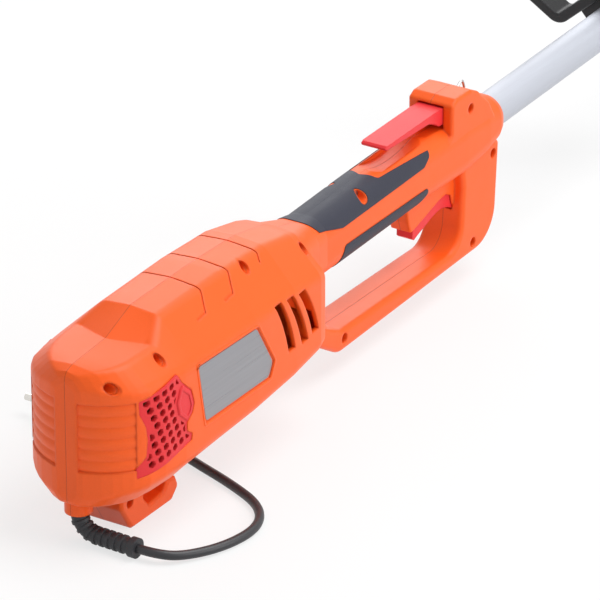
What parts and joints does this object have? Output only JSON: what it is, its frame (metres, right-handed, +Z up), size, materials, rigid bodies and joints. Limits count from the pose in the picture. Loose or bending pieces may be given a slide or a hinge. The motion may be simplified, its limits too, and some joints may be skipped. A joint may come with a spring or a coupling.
{
  "type": "string trimmer",
  "caption": "Corded electric string trimmer: ribbed two-part motor housing with D-grip, straight tube, adjustable loop handle, angled gear head, debris guard and bump-feed line head.",
  "frame": {"origin": "centre of the flat underside of the rear foot, on the floor the trimmer lies on", "axes": "+Z up from the floor, +X forward towards the cutting head, +Y to the user's left"},
  "size_m": [1.6136, 0.297, 0.2318],
  "materials": {
    "orange_shell": "satin moulded",
    "soft_grip": "fine textured soft rubber",
    "red_plastic": "satin moulded",
    "steel": "turned or zinc plated",
    "copper": "enamelled wire and segments",
    "black_plastic": "fine textured",
    "tube_metal": "satin drawn",
    "cast_metal": "die cast",
    "trim_line": "clear extruded line",
    "eyelet_metal": "polished",
    "lead_rubber": "smooth rubber",
    "pin_metal": "nickel plated"
  },
  "bodies": {
    "body": {"housing_right": "orange_shell", "housing_left": "orange_shell", "grip_pad_upper_right": "soft_grip", "grip_pad_lower_right": "soft_grip", "grip_pad_upper_left": "soft_grip", "grip_pad_lower_left": "soft_grip", "vent_grille_right": "red_plastic", "vent_grille_left": "red_plastic", "housing_screws": "steel", "strap_eye": "steel", "lever_pin": "steel", "trigger_pin": "steel", "stator_core": "steel", "rear_bearing": "steel", "front_bearing": "steel", "gear_clamp_bolt": "steel", "spindle_bearings": "steel", "line_cutter": "steel", "guard_screws": "steel", "field_windings": "copper", "power_switch": "black_plastic", "brush_holder_right": "black_plastic", "brush_holder_left": "black_plastic", "shaft_bushes": "black_plastic", "debris_guard": "black_plastic", "main_tube": "tube_metal", "gear_housing": "cast_metal", "cord_boot": "lead_rubber", "power_cord": "lead_rubber", "plug_body": "lead_rubber", "plug_pins": "pin_metal"},
    "lock_lever": {"lock_lever": "red_plastic"},
    "trigger": {"trigger": "red_plastic"},
    "drive_line": {"armature_core": "steel", "commutator": "copper", "motor_shaft": "steel", "cooling_fan": "black_plastic", "shaft_coupling": "black_plastic", "drive_shaft": "steel", "bevel_pinion": "steel"},
    "cutting_head": {"bevel_gear": "steel", "output_spindle": "steel", "spool_housing": "black_plastic", "spool_cover": "black_plastic", "line_eyelets": "eyelet_metal", "cutting_line": "trim_line"},
    "bump_spool": {"line_spool": "black_plastic", "line_winding": "trim_line", "bump_knob": "red_plastic"},
    "handle_sleeve": {"handle_sleeve": "black_plastic"},
    "front_handle": {"loop_handle": "black_plastic", "handle_cap": "black_plastic", "clamp_bolts": "steel"},
    "wing_knob": {"wing_knob": "black_plastic"}
  },
  "joints": [
    {"name": "lever_press", "type": "hinge", "parent": "body", "child": "lock_lever", "pos_m": [0.36494, 0, 0.13092], "axis": [0, -1, 0], "range_deg": [0, 8], "stiffness_Nm_per_rad": 0.4, "springref_deg": -14.32},
    {"name": "trigger_pull", "type": "hinge", "parent": "body", "child": "trigger", "pos_m": [0.38723, 0, 0.07612], "axis": [0, 1, 0], "range_deg": [0, 6], "stiffness_Nm_per_rad": 0.5, "springref_deg": -17.19},
    {"name": "drive_spin", "type": "hinge", "parent": "body", "child": "drive_line", "pos_m": [0.04204, 0, 0.09191], "axis": [0.9995, 0, 0.0325], "continuous": true},
    {"name": "head_spin", "type": "hinge", "parent": "body", "child": "cutting_head", "pos_m": [1.45029, 0, 0.13768], "axis": [0.5716, 0, -0.8205], "continuous": true},
    {"name": "bump_feed", "type": "slide", "parent": "cutting_head", "child": "bump_spool", "axis": [-0.5716, 0, 0.8205], "range_m": [0, 0.005], "stiffness_N_per_m": 800, "springref_m": -0.01},
    {"name": "sleeve_slide", "type": "slide", "parent": "body", "child": "handle_sleeve", "axis": [0.9995, 0, 0.0325], "range_m": [-0.09, 0.12]},
    {"name": "handle_roll", "type": "hinge", "parent": "handle_sleeve", "child": "front_handle", "pos_m": [0.64322, 0, 0.11145], "axis": [0.9995, 0, 0.0325], "range_deg": [-15, 45]},
    {"name": "knob_turn", "type": "hinge", "parent": "front_handle", "child": "wing_knob", "pos_m": [0.64315, -0.02953, 0.11354], "axis": [-0.0243, 0.6626, 0.7486], "continuous": true}
  ],
  "couplings": [
    {"joint": "head_spin", "follows": "drive_spin", "ratio": 0.71429}
  ]
}
